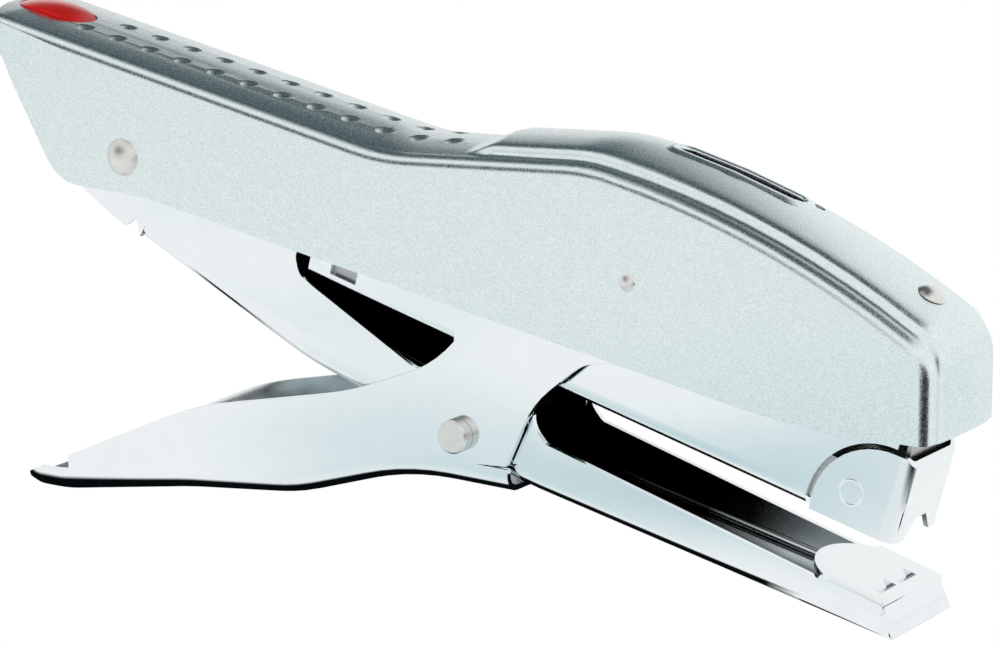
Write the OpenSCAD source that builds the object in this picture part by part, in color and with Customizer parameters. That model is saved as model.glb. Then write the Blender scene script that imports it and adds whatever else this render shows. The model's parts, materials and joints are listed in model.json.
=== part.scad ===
// Plier stapler held in one hand: a sheet metal top cover carries the staple driver, an anvil
// arm and a staple magazine turn on one rear pivot under it, and a lower lever squeezes the
// arm up against the magazine. Nose towards +X, width along Y, standing on lever and arm tip.

/* [Staples] */
// Width over the legs of one staple
staple_crown = 12.8; // [11.6:0.1:13.4]
// Length of a staple leg below its crown
staple_leg = 6; // [4:0.5:8]
// Thickness of the staple wire
staple_wire = 0.6; // [0.4:0.05:0.7]
// Length of the staple strip that is left
strip_length = 11; // [6:0.5:14]

/* [Sheet] */
// Sheet of the inner staple channel
channel_t = 0.6; // [0.5:0.1:0.9]
// Sheet of the magazine housing
housing_t = 0.8; // [0.6:0.1:1]
// Sheet of the staple rail
rail_t = 0.7; // [0.5:0.1:0.9]
// Sheet of the anvil arm
arm_t = 1; // [0.9:0.1:1.6]
// Sheet of the lever
lever_t = 1; // [0.9:0.1:1.6]
// Sheet of the top cover
cover_t = 0.8; // [0.7:0.1:1.1]
// Sheet of the anvil plate
anvil_t = 0.8; // [0.6:0.1:1]
// Thickness of the driver blade
driver_t = 0.7; // [0.5:0.05:0.9]

/* [Fits] */
// Gap on each side between sliding sheet walls of the magazine
channel_gap = 0.1; // [0.05:0.05:0.3]
// Gap on each side between the magazine and the arm
arm_gap = 0.2; // [0.1:0.05:0.4]
// Gap on each side between the arm and the lever, filled by washers
lever_gap = 0.5; // [0.4:0.1:0.8]
// Gap on each side between the lever and the cover
cover_gap = 0.2; // [0.15:0.05:0.4]
// Radial clearance of a pin that turns in its hole
pin_fit = 0.05; // [0.02:0.01:0.09]
// Clearance around levers, hooks and sliders
play = 0.3; // [0.2:0.05:0.4]

/* [Pivots] */
// Rear pivot behind the middle of the stapler
rear_pivot_x = -60; // [-63:0.5:-57]
// Height of the rear pivot
rear_pivot_z = 60.5; // [59.5:0.25:61.5]
// Diameter of the rear pivot pin
rear_pin_d = 4; // [3:0.25:5]
// Diameter of the rear pin's domed heads
rear_head_d = 6.4; // [5.5:0.1:7.5]
// Lever pin ahead of the middle
lever_pin_x = 6.5; // [5:0.25:8]
// Height of the lever pin
lever_pin_z = 22; // [21:0.25:23]
// Diameter of the lever pin
lever_pin_d = 4; // [3:0.25:4.5]
// Diameter of the lever pin's flat heads
lever_head_d = 5.6; // [5:0.1:7]
// Height of the lever pin's flat heads
lever_head_h = 2.1; // [1:0.1:3]
// Fulcrum pin ahead of the middle
fulcrum_x = 38.5; // [37:0.25:40]
// Height of the fulcrum pin
fulcrum_z = 51; // [50:0.25:52]
// Diameter of the fulcrum pin
fulcrum_d = 2.8; // [2.4:0.1:3.4]

/* [Cover] */
// Rear end of the cover
tail_x = -91; // [-94:0.5:-89]
// Top of the handle at its rear end
tail_z = 82.15; // [81.5:0.05:83]
// End of the straight handle
waist_x = -8; // [-10:0.5:-6]
// Top of the handle at its waist
waist_z = 66.5; // [66:0.1:67.2]
// Start of the slope down to the nose
brow_x = 30.3; // [29:0.1:31]
// Top of the shoulders at the brow
brow_z = 68.75; // [68:0.05:69.2]
// Front face of the shoulders
front_x = 90.6; // [90.4:0.1:91]
// Top of the front face
front_z = 46.25; // [45.8:0.05:46.8]
// Lower edge of the front face
front_low = 32.2; // [31.6:0.2:33]
// Rounding of the long top edges
shoulder_r = 2; // [1.5:0.1:2.4]
// How far the top bulges between its long edges
roof_h = 1; // [0.6:0.1:1.4]
// The same bulge along the handle
handle_roof_h = 0.5; // [0.3:0.1:0.8]
// The same bulge at the waist
waist_roof_h = 1.6; // [1:0.1:1.8]
// Rounding of the tail seen from above
tail_r = 17; // [15:0.5:20]

/* [Crown] */
// Half width of the raised crown
crown_half = 8.9; // [8.6:0.1:9.1]
// Rear end of the crown
crown_x = 6; // [4:0.5:7]
// Length of the ramp at the crown's rear end
crown_ramp = 6.5; // [5:0.5:8]
// Height of the crown above the shoulders behind the slot
crown_rear_h = 1.6; // [1.3:0.1:1.9]
// Height of the crown above the shoulders ahead of the slot
crown_front_h = 1.6; // [1.3:0.1:1.9]
// How far the crown's front face stands ahead of the shoulders
crown_proud = 0.4; // [0.2:0.05:0.6]

/* [Grip dimples] */
// Number of dimples in the near row
dimple_count = 12; // [8:1:12]
// Distance from one dimple to the next
dimple_pitch = 6.8; // [6:0.1:6.8]
// Diameter of a dimple
dimple_d = 3.6; // [3:0.1:4]
// Depth of a dimple
dimple_depth = 0.5; // [0.3:0.05:0.7]
// Distance of each row from the middle
dimple_y = 3.7; // [3.5:0.1:4.5]
// Distance from the start of the crown back to the last dimple
dimple_end = 4.8; // [4:0.1:6]

/* [Indicator] */
// Middle of the indicator slot along X
slot_x = 50.6; // [49:0.2:52]
// Middle of the indicator slot along Y
slot_y = 3.2; // [2.6:0.1:3.6]
// Length of the indicator slot
slot_length = 23; // [20:0.5:25]
// Width of the indicator slot
slot_w = 3.6; // [3:0.1:4]
// Width of the red pointer
pointer_w = 1.4; // [1:0.1:2]

/* [Arm] */
// Height of the arm's front tip above the table
arm_tip_z = 0; // [0:0.05:0]
// Front end of the arm channel
arm_front_x = 83.4; // [82.6:0.1:84]
// Height of the low side walls at the front
arm_wall = 5; // [4.4:0.1:5.4]
// Height of the low side walls at the lever pin
arm_wall_rear = 9.3; // [8.8:0.1:9.8]
// Length of the anvil plate
anvil_length = 16; // [14:0.5:18]
// Depth of the anvil plate's side flanges
anvil_flange = 1; // [0.6:0.1:1.6]
// Width over both staple forming grooves
groove_span = 13.2; // [12.4:0.1:13.8]

/* [Magazine] */
// Downward tilt of the magazine
magazine_tilt = 14.8; // [14.4:0.1:15.2]
// Distance from the rear pivot to the nose's front face
nose_u = 150.2; // [149.8:0.1:150.3]
// Depth of the magazine's bottom below the rear pivot
magazine_drop = 7.2; // [6.8:0.1:7.5]
// Length of the nose piece
nose_length = 15; // [13:0.5:16]
// Height of the nose piece
nose_height = 14; // [12.5:0.25:14.5]
// Sheet of the nose piece
nose_t = 0.9; // [0.7:0.1:1]
// Rear end of the housing ahead of the rear pivot
housing_u = 38; // [36:0.5:40]
// Slot in front of the strip that the driver runs down
driver_slot = 2.1; // [1.9:0.1:2.3]
// Angle that the magazine lifts by when a staple is driven
lift_angle = 3.2; // [3:0.05:3.3]
// Length of the staple pusher
pusher_length = 9; // [7:0.5:11]

/* [Release] */
// Middle of the button along X
button_x = -82.6; // [-83.4:0.1:-82]
// Length of the button
button_l = 14.4; // [13:0.2:15]
// Width of the button
button_w = 8; // [7:0.2:9]
// Height of the button's dome above the cover
button_h = 1.2; // [0.9:0.1:1.6]
// Half width of the release latch
latch_half = 2.4; // [2:0.1:3]
// Distance from the button's middle to the latch's pivot along X
latch_reach = 14.6; // [13:0.2:15]

/* [Hidden] */
$fn = 48;
fine = 96;
eps = 0.01;
far = 300;

// Widths, from the staple outwards, as half widths
leg_half = staple_crown / 2;
channel_in = leg_half + channel_gap;
channel_out = channel_in + channel_t;
housing_in = channel_out + channel_gap;
housing_out = housing_in + housing_t;
nose_out = channel_out + nose_t;
arm_in = max(housing_out, nose_out) + arm_gap;
arm_out = arm_in + arm_t;
lever_in = arm_out + lever_gap;
lever_out = lever_in + lever_t;
cover_in = lever_out + cover_gap;
cover_out = cover_in + cover_t;
rail_out = leg_half - staple_wire - 0.15;

rear_pivot = [rear_pivot_x, rear_pivot_z];
lever_pivot = [lever_pin_x, lever_pin_z];
fulcrum = [fulcrum_x, fulcrum_z];

// Outlines are lists of [x, z, corner radius] and run along the outer face of the sheet
ramp = [for (k = [0:0.125:1.01]) crown_x + crown_ramp * k];
shoulder_path = concat([
    [tail_x - 2, tail_z + 0.6, 0],
    [tail_x + 4.5, tail_z, 14],
    [waist_x, waist_z, 40]],
    [for (x = ramp)
        [x, waist_z + (brow_z - waist_z) * (x - waist_x) / (brow_x - waist_x), 0]], [
    [brow_x, brow_z, 30],
    [brow_x + 31.8, brow_z - 5.8, 157],
    [front_x, front_z, 7],
    [front_x, front_low, 0]]);
shoulder_points = path_points(shoulder_path);
shoulder_up = mitres(shoulder_points);

// The crown's height above the shoulders changes along the path
run = distances(shoulder_points);
run_at = [for (i = [0:len(run) - 1]) [shoulder_points[i][0], run[i]]];
ramp_run = lookup(crown_x, run_at);
bend = len(shoulder_path) - 2;
face_run = run[len(run) - 1] - front_z + front_low + tangent(shoulder_path, bend);
bend_run = face_run - shoulder_path[bend][2] * abs(turn(shoulder_path, bend)) * PI / 180;
crown_heights = concat(
    [for (k = [0:0.125:1.01]) [ramp_run + crown_ramp * k, crown_rear_h * (1 - cos(180 * k)) / 2]],
    [[lookup(brow_x, run_at), crown_rear_h],
    [lookup(slot_x, run_at), crown_front_h],
    [bend_run, crown_front_h - 0.1],
    [face_run, crown_proud]]);
crown_h = [for (r = run) r < ramp_run ? 0 : lookup(r, crown_heights)];

// The bulge of the top flattens on the front face
roof = [for (r = run) lookup(r, [
    [lookup(waist_x - 30, run_at), handle_roof_h],
    [lookup(waist_x + 4, run_at), waist_roof_h],
    [ramp_run + crown_ramp, roof_h],
    [bend_run, roof_h],
    [face_run, roof_h / 4]])];
function roof_share(y) = max(0, 1 - pow(y / (cover_out - shoulder_r), 2));
crown_edge = [for (i = [0:len(run) - 1])
    shoulder_points[i] + (crown_h[i] + roof_share(leg_half) * roof[i]) * shoulder_up[i]];
arch = 1.2;
crown_points = [for (i = [0:len(run) - 1])
    shoulder_points[i] + (arch * crown_h[i] + roof[i]) * shoulder_up[i]];

handle_angle = heading(shoulder_path, 1);
hem = 5.5;
ridge_half = 3.6;
ridge_h = handle_roof_h * roof_share(ridge_half);
function handle_z(x) = tail_z + ridge_h + (x - tail_x - 4.5) * tan(handle_angle);
slot_ends = [for (side = [-1, 1]) lookup(slot_x + side * slot_length / 2, crown_points)];
slot_z = (slot_ends[0] + slot_ends[1]) / 2;
slot_angle = atan2(slot_ends[1] - slot_ends[0], slot_length);
cover_skirt = [
    [front_x, front_low + 0.2, 0],
    [front_x - 12.6, front_low - 0.8, 60],
    [front_x - 30.6, front_low + 1.4, 80],
    [-56, 54.2, 60],
    [-74, 54.8, 8],
    [tail_x + 6.4, 73, 40],
    [tail_x + 3, tail_z - 0.5, 0]];

// Magazine frame: u runs along the magazine from the rear pivot, w stands square to it
function magazine_point(u, w, tilt = magazine_tilt) = [
    rear_pivot_x + u * cos(tilt) + w * sin(tilt),
    rear_pivot_z - u * sin(tilt) + w * cos(tilt)];

floor_w = -magazine_drop + housing_t + channel_gap;
staple_w = floor_w + channel_t;
crown_w = staple_w + staple_leg + staple_wire + 0.1;
rail_w = crown_w - staple_wire - 0.05;
strip_u = nose_u - nose_t - driver_slot;
pusher_u = strip_u - strip_length - 0.1;
nose_low = -magazine_drop - 0.2;
nose_r = 2.5;
nose_arc = 11.8;
nose_arc_u = nose_u - 3.2;
nose_arc_w = nose_low + 2.2;
rod_w = staple_w + 2.6;
rod_r = 1.2;
hook_u = housing_u + 7.5;
web_u = hook_u + 6;
bridge_u = 62;
housing_top = 5;
bridge_half = 5;
flag_foot = crown_w + 1.4;
pointer_foot = [slot_x, slot_z] - 15 * [-sin(slot_angle), cos(slot_angle)];
flag_u = (pointer_foot - rear_pivot) * [cos(magazine_tilt), -sin(magazine_tilt)] + 0.5;
flag_top = (pointer_foot - rear_pivot) * [sin(magazine_tilt), cos(magazine_tilt)];

// Arm and lever outlines
arm_path = [
    [-58.6, 46.5, 0],
    [-25.3, 29.75, 60],
    [17, 14.9, 60],
    [arm_front_x, arm_tip_z, 0]];
arm_fold = 2.4;
wall_front = [arm_front_x - 0.9, arm_tip_z + 0.2 + arm_wall];
wall_rear = [22, 13 + arm_wall_rear];
wall_slope = atan2(wall_rear[1] - wall_front[1], wall_front[0] - wall_rear[0]);
face_top = [arm_front_x - 0.5, wall_front[1] + anvil_t - 0.1];
face_low = [arm_front_x + 1.6, arm_tip_z + 1.2];
face_dir = unit(face_low - face_top);
face_back = anvil_t * [face_dir[1], -face_dir[0]];
lever_fold = 3;
lever_path = [
    [-83.6, 0.9, 0],
    [-81.5, 0, 5],
    [-76, 0, 14],
    [-49, 4.4, 60],
    [-26.5, 6.8, 40],
    [-4, 13.9, 50],
    [15.8, 13.5, 0]];

// Driver line, square to the lifted magazine, and the foot under the crown that carries it
driver_half = leg_half - 0.2;
driver_tilt = magazine_tilt - lift_angle;
driver_u = strip_u + driver_slot / 2;
driver_tip = magazine_point(driver_u, nose_low + 0.9, driver_tilt);
crown_dir = unit([8, lookup(front_x - 5, crown_edge) - lookup(front_x - 13, crown_edge)]);
foot_offset = cover_t + driver_t / 2;
foot_point = [front_x - 5, lookup(front_x - 5, crown_edge)]
    + foot_offset * [crown_dir[1], -crown_dir[0]];
driver_knee = line_meet(foot_point, crown_dir, driver_tip, [sin(driver_tilt), cos(driver_tilt)]);
driver_path = [
    concat(driver_knee - 11.5 * crown_dir, [0]),
    concat(driver_knee, [4]),
    concat(driver_tip, [0])];
rivet_at = 5.4;

// How the pieces move when the handles are squeezed
close_angle = 2 * lift_angle;
lever_ratio = -2.9;
function rotated(v, a) = [v[0] * cos(a) - v[1] * sin(a), v[0] * sin(a) + v[1] * cos(a)];

// Button and latch
latch_x = button_x + latch_reach;
latch_depth = 6.193;
latch_z = handle_z(latch_x) - latch_depth;
latch_t = 1;
latch_pin_d = 1.8;
pad_drop = 8.2;
hook_point = magazine_point(hook_u, rail_w - 0.8);
hook_bend = hook_point + [1.6, 8.5];
latch_slope = (hook_bend[1] - latch_z) / (hook_bend[0] - latch_x);

function unit(v) = let (p = [v[0], v[1]]) p / norm(p);
function line_meet(p, d, q, e) =
    let (k = ((q[0] - p[0]) * e[1] - (q[1] - p[1]) * e[0]) / (d[0] * e[1] - d[1] * e[0]))
    p + k * d;
function heading(path, i) = atan2(path[i + 1][1] - path[i][1], path[i + 1][0] - path[i][0]);
function wrapped(a) = a > 180 ? a - 360 : a < -180 ? a + 360 : a;
function turn(path, i) =
    i <= 0 || i >= len(path) - 1 ? 0 : wrapped(heading(path, i) - heading(path, i - 1));
function tangent(path, i) = path[i][2] * tan(abs(turn(path, i)) / 2);
function left_of(a) = [-sin(a), cos(a)];

// A path moved to its left by d, with its corner radii kept concentric
function shifted(path, d) = [for (i = [0:len(path) - 1])
    let (last = len(path) - 1,
        a = heading(path, max(i - 1, 0)),
        b = heading(path, min(i, last - 1)),
        n = left_of(a),
        m = left_of(b),
        p = [path[i][0], path[i][1]] + d * (n + m) / (1 + n * m),
        r = path[i][2] == 0 ? 0 : path[i][2] - d * sign(turn(path, i)))
    concat(p, [r])];

// The points of an open path with its corners rounded, each chord within 0.03 of its arc
function path_points(path) = [for (i = [0:len(path) - 1])
    let (t = turn(path, i), r = path[i][2], a = heading(path, max(i - 1, 0)))
    if (r == 0 || t == 0) [path[i][0], path[i][1]]
    else let (c = [path[i][0], path[i][1]] - tangent(path, i) * [cos(a), sin(a)]
                + r * sign(t) * left_of(a),
            steps = ceil(abs(t) / (2 * acos(1 - 0.03 / max(r, 0.1)))))
        each [for (j = [0:steps]) c - r * sign(t) * left_of(a + t * j / steps)]];

// The points of a closed outline with its corners rounded
function outline_points(outline) =
    let (n = len(outline),
        ring = concat([outline[n - 1]], outline, [outline[0], outline[1]]),
        all = [for (i = [1:n]) let (three = [ring[i - 1], ring[i], ring[i + 1]])
            each corner_points(three)])
    all;
function corner_points(three) =
    let (points = path_points([[three[0][0], three[0][1], 0], three[1],
        [three[2][0], three[2][1], 0]]))
    [for (j = [1:len(points) - 2]) points[j]];

// Sheet sections are lists of [outer point, inner point], drawn in Y and outward height
function folded_sheet(half, r, t, leg) =
    let (side = concat([[[half, -r - leg], [half - t, -r - leg]]],
            [for (a = [0:15:90]) let (d = [cos(a), sin(a)], c = [half - r, -r])
                [c + r * d, c + (r - t) * d]]),
        n = len(side))
    concat(side, [for (i = [n - 1:-1:0]) [for (p = side[i]) [-p[0], p[1]]]]);
function turned_over(sheet) = [for (pair = sheet) -pair];
function flat_sheet(half, t) = [for (y = [half, -half]) [[y, t / 2], [y, -t / 2]]];

// The outward direction at each point, lengthened where the line bends
function mitres(points) = [for (i = [0:len(points) - 1])
    let (n = len(points),
        a = unit(points[max(i, 1)] - points[max(i, 1) - 1]),
        b = unit(points[min(i, n - 2) + 1] - points[min(i, n - 2)]))
    [-a[1] - b[1], a[0] + b[0]] / (1 + a * b)];
function distances(points) = [for (i = 0, d = 0; i < len(points);
    i = i + 1, d = d + (i < len(points) ? norm(points[i] - points[i - 1]) : 0)) d];

// Carries a sheet section along a path with rounded corners
module sweep(path, sheet) {
    points = path_points(path);
    skin(points, mitres(points), [for (p = points) sheet]);
}

// A closed skin through one sheet section at each point of a line
module skin(points, up, sheets) {
    n = len(points);
    q = len(sheets[0]);
    m = 2 * q;
    corners = [for (i = [0:n - 1])
        let (ring = concat([for (pair = sheets[i]) pair[0]],
            [for (k = [q - 1:-1:0]) sheets[i][k][1]]))
        for (s = ring)
            [points[i][0] + s[1] * up[i][0], s[0], points[i][1] + s[1] * up[i][1]]];
    sides = [for (i = [0:n - 2]) for (k = [0:m - 1])
        let (j = (k + 1) % m)
        [i * m + k, (i + 1) * m + k, (i + 1) * m + j, i * m + j]];
    caps = [for (k = [0:q - 2]) each [
        [k, k + 1, m - 2 - k, m - 1 - k],
        [for (c = [m - 1 - k, m - 2 - k, k + 1, k]) (n - 1) * m + c]]];
    polyhedron(points = corners, faces = concat(sides, caps), convexity = 10);
}

// A flat plate standing in the XZ plane from y = from to y = to
module plate(points, from, to) {
    translate([0, to, 0])
        rotate([90, 0, 0])
            linear_extrude(to - from)
                polygon(points);
}

// Both side walls of a channel
module walls(points, inner, outer) {
    plate(points, inner, outer);
    plate(points, -outer, -inner);
}

// A cylinder along Y, centred on the middle plane
module rod_y(r, half) {
    rotate([90, 0, 0])
        cylinder(r = r, h = 2 * half, center = true);
}

// Children drawn in the magazine frame
module in_magazine() {
    translate([rear_pivot_x, 0, rear_pivot_z])
        rotate([0, magazine_tilt, 0])
            children();
}

module at_pivot(p) {
    translate([p[0], 0, p[1]])
        children();
}

// A tube of round wire along a list of points
module wire(points, r, sides = 6) {
    n = len(points);
    function along(i) = let (v = points[min(i + 1, n - 1)] - points[max(i - 1, 0)]) v / norm(v);
    function side_of(i) = let (c = cross(along(i), [0.31, 0.9, 0.3])) c / norm(c);
    rings = [for (i = [0:n - 1]) let (s = side_of(i), q = cross(along(i), s))
        for (k = [0:sides - 1])
            points[i] + r * (cos(k * 360 / sides) * s + sin(k * 360 / sides) * q)];
    skin = [for (i = [0:n - 2]) for (k = [0:sides - 1])
        let (m = (k + 1) % sides)
        each [[i * sides + k, (i + 1) * sides + m, i * sides + m],
            [i * sides + k, (i + 1) * sides + k, (i + 1) * sides + m]]];
    caps = [[for (k = [0:sides - 1]) k],
        [for (k = [sides - 1:-1:0]) (n - 1) * sides + k]];
    polyhedron(points = rings, faces = concat(skin, caps), convexity = 8);
}

// Points of a coil that rises along Z
function coil(r, height, turns, steps = 14) = [for (i = [0:turns * steps])
    [r * cos(i * 360 / steps), r * sin(i * 360 / steps), height * i / (turns * steps)]];

// ---- Body: cover, driver and fixed pins ----

// Section of the cover with a crown of height h: [distance from the crown's edge, share of h]
crown_shape = [
    [0.45, 0],
    [0.1, 0.12],
    [-0.2, 0.4],
    [-0.45, 0.68],
    [-0.8, 0.88],
    [-1.4, 0.99],
    [-2.6, 1.05],
    [ridge_half - crown_half, 1.16]];
function cover_sheet(h, d) =
    let (t = cover_t, r = shoulder_r, c = [cover_out - r, -r], foot = -hem - 1,
        side = concat([[[cover_out, foot], [cover_in, foot]]],
            [for (a = [0:18:90]) let (v = [cos(a), sin(a)]) [c + r * v, c + (r - t) * v]],
            [for (s = crown_shape) let (y = crown_half + s[0], yi = y - 0.85 * t)
                [[y, roof_share(y) * d + s[1] * h],
                [yi, roof_share(yi) * d + s[1] * h - t]]]),
        n = len(side))
    concat(side, [[[0, arch * h + d], [0, arch * h + d - t]]],
        [for (i = [n - 1:-1:0]) [for (p = side[i]) [-p[0], p[1]]]]);

module on_handle(x) {
    translate([x, 0, handle_z(x)])
        rotate([0, -handle_angle, 0])
            children();
}

module dimples() {
    r = (dimple_d * dimple_d / 4 + dimple_depth * dimple_depth) / (2 * dimple_depth);
    last = crown_x - dimple_end;
    top = [for (i = [0:len(run) - 1])
        shoulder_points[i] + roof_share(dimple_y) * roof[i] * shoulder_up[i]];
    for (row = [0, 1])
        for (i = [0:dimple_count - 1 - row])
            let (x = last - (i + row / 2) * dimple_pitch,
                lean = atan2(lookup(x + 1, top) - lookup(x - 1, top), 2))
                translate([x, row == 0 ? -dimple_y : dimple_y, lookup(x, top)])
                    rotate([0, -lean, 0])
                        translate([0, 0, r - dimple_depth])
                            sphere(r = r, $fn = 32);
}

module at_slot() {
    translate([slot_x, slot_y, slot_z])
        rotate([0, -slot_angle, 0])
            children();
}

module slot_shape(length, width, depth) {
    for (end = [-1, 1])
        translate([end * (length - width) / 2, 0, -depth])
            cylinder(d = width, h = 2 * depth);
    translate([-(length - width) / 2, -width / 2, -depth])
        cube([length - width, width, 2 * depth]);
}

module button_shape(length, width, height) {
    for (end = [-1, 1])
        translate([end * (length - width) / 2, 0, 0])
            cylinder(d = width, h = height);
    translate([-(length - width) / 2, -width / 2, 0])
        cube([length - width, width, height]);
}

module tail_trim() {
    difference() {
        translate([tail_x - 20, -far / 2, 0])
            cube([20 + 10, far, far]);
        translate([tail_x + tail_r, 0, -1])
            cylinder(r = tail_r, h = far + 2, $fn = fine);
    }
}

module top_cover() {
    edge = path_points(shifted(shoulder_path, -hem));
    skirt = path_points(cover_skirt);
    color("lightsteelblue")
        difference() {
            union() {
                skin(shoulder_points, shoulder_up,
                    [for (i = [0:len(run) - 1]) cover_sheet(crown_h[i], roof[i])]);
                walls(concat([for (p = edge) if (p[0] > tail_x + 5.2) p],
                    [for (p = skirt) [min(p[0], front_x - hem), p[1]]]),
                    cover_in, cover_out);
            }
            tail_trim();
            dimples();
            on_handle(button_x)
                translate([0, 0, -5])
                    button_shape(button_l + 2 * play, button_w + 2 * play, 10);
            at_slot()
                slot_shape(slot_length, slot_w, 4);
            translate([rear_pivot_x, 0, rear_pivot_z])
                rod_y(rear_pin_d / 2, cover_out + 1);
            translate([fulcrum_x, 0, fulcrum_z])
                rod_y(fulcrum_d / 2, cover_out + 1);
            driver_rivet_place()
                cylinder(d = rivet_d, h = 10, center = true);
        }
}

rivet_d = 2.6;
module driver_rivet_place() {
    p = driver_knee - rivet_at * crown_dir - foot_offset * [crown_dir[1], -crown_dir[0]];
    translate([p[0], 0, p[1]])
        rotate([0, -atan2(crown_dir[1], crown_dir[0]), 0])
            children();
}

module driver_blade() {
    color("silver")
        difference() {
            sweep(driver_path, flat_sheet(driver_half, driver_t));
            driver_rivet_place()
                cylinder(d = rivet_d, h = 10, center = true);
        }
}

// A shallow dome of diameter d and height h, standing on z = 0
module dome(d, h) {
    r = (d * d / 4 + h * h) / (2 * h);
    intersection() {
        translate([0, 0, h - r])
            sphere(r = r, $fn = fine);
        cylinder(d = d, h = h + 1);
    }
}

module driver_rivet() {
    reach = cover_t + driver_t;
    lift = (arch - 1) * crown_front_h + roof_h * (1 - roof_share(leg_half));
    color("gainsboro")
        driver_rivet_place() {
            translate([0, 0, lift])
                dome(4.6, 1.1);
            translate([0, 0, -reach - 0.8])
                cylinder(d = rivet_d, h = reach + lift + 0.8 + eps);
            translate([0, 0, -reach - 0.8])
                cylinder(d = 3.8, h = 0.8);
        }
}

module rear_pivot_pin() {
    color("gainsboro")
        at_pivot(rear_pivot) {
            rod_y(rear_pin_d / 2, cover_out);
            for (side = [-90, 90])
                rotate([side, 0, 0])
                    translate([0, 0, cover_out])
                        dome(rear_head_d, 1.5);
        }
}

module pivot_washers() {
    color("silver")
        at_pivot(rear_pivot)
            for (side = [-1, 1])
                translate([0, side * (arm_out + cover_in) / 2, 0])
                    difference() {
                        rod_y(4, (cover_in - arm_out) / 2 - 0.05);
                        rod_y(rear_pin_d / 2, cover_in);
                    }
}

module fulcrum_pin() {
    color("gainsboro")
        at_pivot(fulcrum)
            for (side = [-90, 90])
                rotate([side, 0, 0])
                    translate([0, 0, lever_in - 0.2]) {
                        cylinder(d = fulcrum_d, h = cover_out - lever_in + 0.2);
                        translate([0, 0, cover_out - lever_in + 0.2])
                            dome(fulcrum_d, 0.5);
                    }
}

scale_h = 1.2;
scale_top = -cover_t - 0.9;
tooth = 1.1;
module indicator_scale() {
    teeth = floor((slot_length - 2) / tooth);
    color("black")
            at_slot()
                difference() {
                    union() {
                        translate([-slot_length / 2 - 1.5, -slot_w / 2 - 1.2, scale_top - scale_h])
                            cube([slot_length + 3, slot_w + 2.4, scale_h]);
                        scale_lip();
                    }
                    translate([-slot_length / 2 + 1, -slot_w / 2 + 0.2, scale_top - scale_h - 1])
                        cube([slot_length - 2, slot_w / 2 + 0.4, scale_h + 2]);
                    for (i = [0:teeth - 1])
                        translate([(i - (teeth - 1) / 2) * tooth - tooth / 4,
                            slot_w / 2 - 1.7, scale_top - scale_h - 1])
                            cube([tooth / 2, 1.4, scale_h + 4]);
                }
}

// The scale's teeth and rear end stand up into the slot, just short of the cover's face
module scale_lip() {
    clear = 0.15;
    height = -scale_top - 0.25;
    intersection() {
        slot_shape(slot_length - 2 * clear, slot_w - 2 * clear, 4);
        translate([-slot_length / 2, -slot_w / 2, scale_top - 0.1])
            difference() {
                cube([slot_length, slot_w, height]);
                translate([1, -1, -1])
                    cube([slot_length, slot_w / 2 + 1.35, height + 2]);
            }
    }
}

pointer_low = 17;
pointer_base = scale_h - scale_top + 0.6;
prong_gap = 3.4;
module indicator_pointer() {
    color("red")
        at_slot() {
            translate([-pointer_w / 2, -slot_w / 2 + play, -pointer_base])
                cube([pointer_w, slot_w / 2 - play, pointer_base - 0.4]);
            translate([-prong_gap / 2 - 1, -slot_w / 2 - 1, -pointer_base - 1])
                cube([prong_gap + 2, slot_w + 1, 1.2]);
            for (side = [-1, 1])
                translate([side * (prong_gap + 1) / 2 - 0.5, -slot_w / 2 - 1, -pointer_low])
                    cube([1, 3, pointer_low - pointer_base]);
        }
}

// ---- Anvil arm ----

module arm_side() {
    low = path_points(shifted(arm_path, arm_fold + 0.5));
    upper = path_points([
        [wall_front[0] + 1, wall_front[1] - tan(wall_slope), 0],
        [wall_rear[0], wall_rear[1], 2],
        [19.2, 25.5, 4],
        [20.7, 30, 12],
        [7.5, 43.4, 40],
        [-2, 50, 6],
        [-46, 59.5, 8],
        [-53, rear_pivot_z + 6.5, 8],
        [-66, rear_pivot_z + 6.5, 8],
        [-71.5, 54.2, 2],
        [-61.7, 48.1, 0.5],
        [-59.4, 50, 0.6],
        [-58.6, 46.7, 0]]);
    plate_points = concat(low, upper);
    walls(plate_points, arm_in, arm_out);
}

module arm_window() {
    window = outline_points([
        [-27, 49.6, 2],
        [-25.8, 44, 3],
        [-2.2, 31, 3],
        [4.8, 35, 4],
        [4.6, 41.6, 3.5],
        [-6, 45, 12]]);
    plate(window, -far / 2, far / 2);
}

module anvil_arm() {
    color("whitesmoke")
        difference() {
            union() {
                sweep(arm_path, turned_over(folded_sheet(arm_out, arm_fold, arm_t, 1)));
                arm_side();
            }
            arm_window();
            plate([
                face_top + face_back - 5 * face_dir,
                face_top + face_back - 5 * face_dir + [9, 0],
                face_low + face_back + 3 * face_dir + [9, 0],
                face_low + face_back + 3 * face_dir], -far / 2, far / 2);
            at_pivot(rear_pivot)
                rod_y(rear_pin_d / 2 + pin_fit, arm_out + 1);
            at_pivot(lever_pivot)
                rod_y(lever_pin_d / 2, arm_out + 1);
        }
}

module anvil_plate() {
    half = arm_out + anvil_t;
    color("white") {
        at_pivot(wall_front)
            rotate([0, wall_slope, 0])
                difference() {
                    intersection() {
                        union() {
                            translate([-anvil_length, -half, 0])
                                cube([anvil_length + 0.4, 2 * half, anvil_t]);
                            for (side = [0, 1])
                                mirror([0, side, 0])
                                    translate([-anvil_length, arm_out, -anvil_flange])
                                        cube([anvil_length + 0.4, anvil_t, anvil_flange + 0.2]);
                        }
                        union() {
                            translate([-anvil_length + 5, -far / 2, -far / 2])
                                cube(far);
                            translate([-anvil_length + half, 0, 0])
                                cylinder(r = half, h = far, center = true, $fn = fine);
                        }
                    }
                    staple_grooves();
                }
        plate([
            face_top - [0.6, -0.2],
            face_top,
            face_low,
            face_low + face_back,
            face_top + face_back], -arm_out, arm_out);
    }
}

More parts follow.
